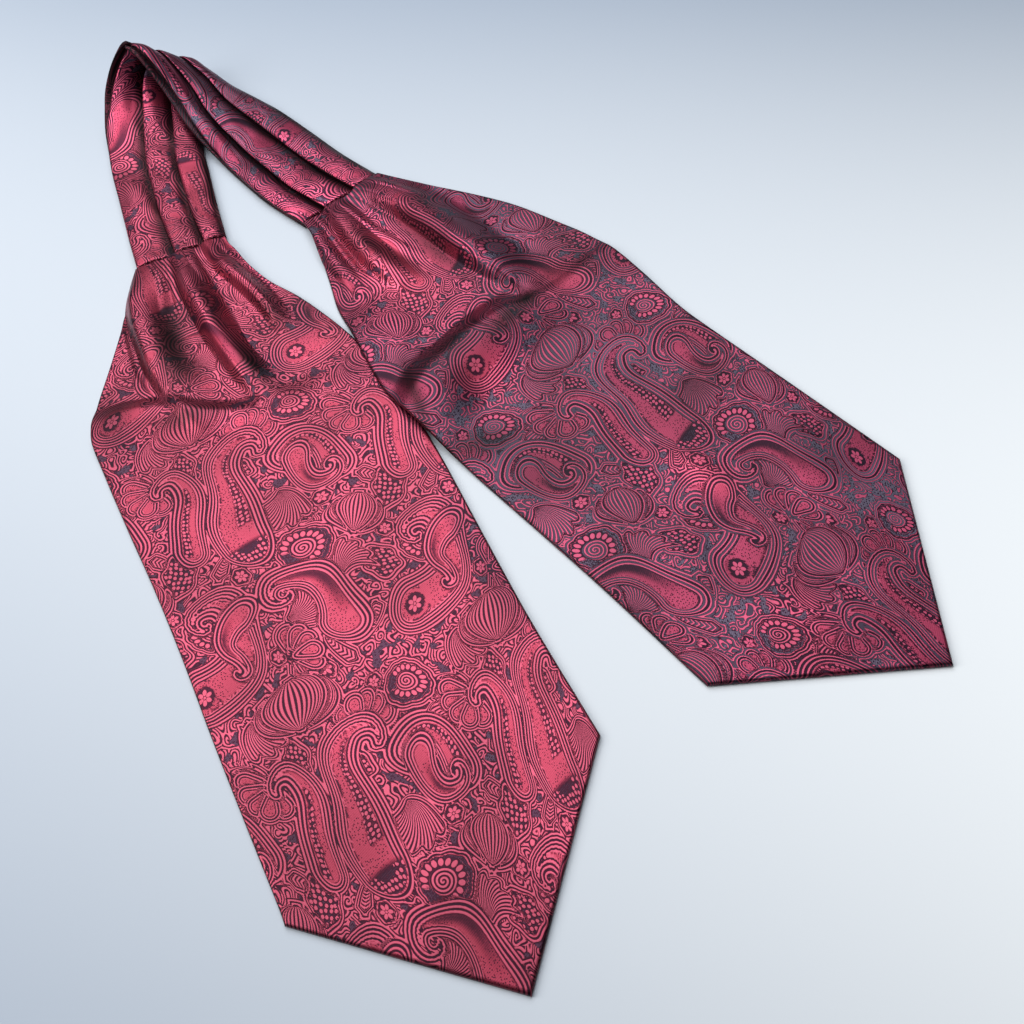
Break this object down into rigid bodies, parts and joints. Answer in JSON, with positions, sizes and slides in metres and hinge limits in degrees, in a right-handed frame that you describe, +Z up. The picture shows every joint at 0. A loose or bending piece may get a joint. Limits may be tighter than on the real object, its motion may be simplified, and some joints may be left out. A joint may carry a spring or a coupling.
{
  "type": "silk cravat",
  "caption": "Pleated silk cravat with two pointed paisley blades, laid flat and folded over at the neck band.",
  "frame": {"origin": "centre of the box's base, on the surface that the cravat lies on", "axes": "+Z up from the table, +Y from the blades' points towards the fold at the neck, +X to the right of the near blade"},
  "size_m": [0.3736, 0.5762, 0.0396],
  "materials": {
    "silk": "jacquard silk with a soft sheen, red paisley on a dark plum ground"
  },
  "bodies": {
    "root": {"near_blade_front": "silk", "near_blade_back": "silk", "far_blade_front": "silk", "far_blade_back": "silk", "near_band": "silk", "far_band": "silk"}
  },
  "joints": []
}
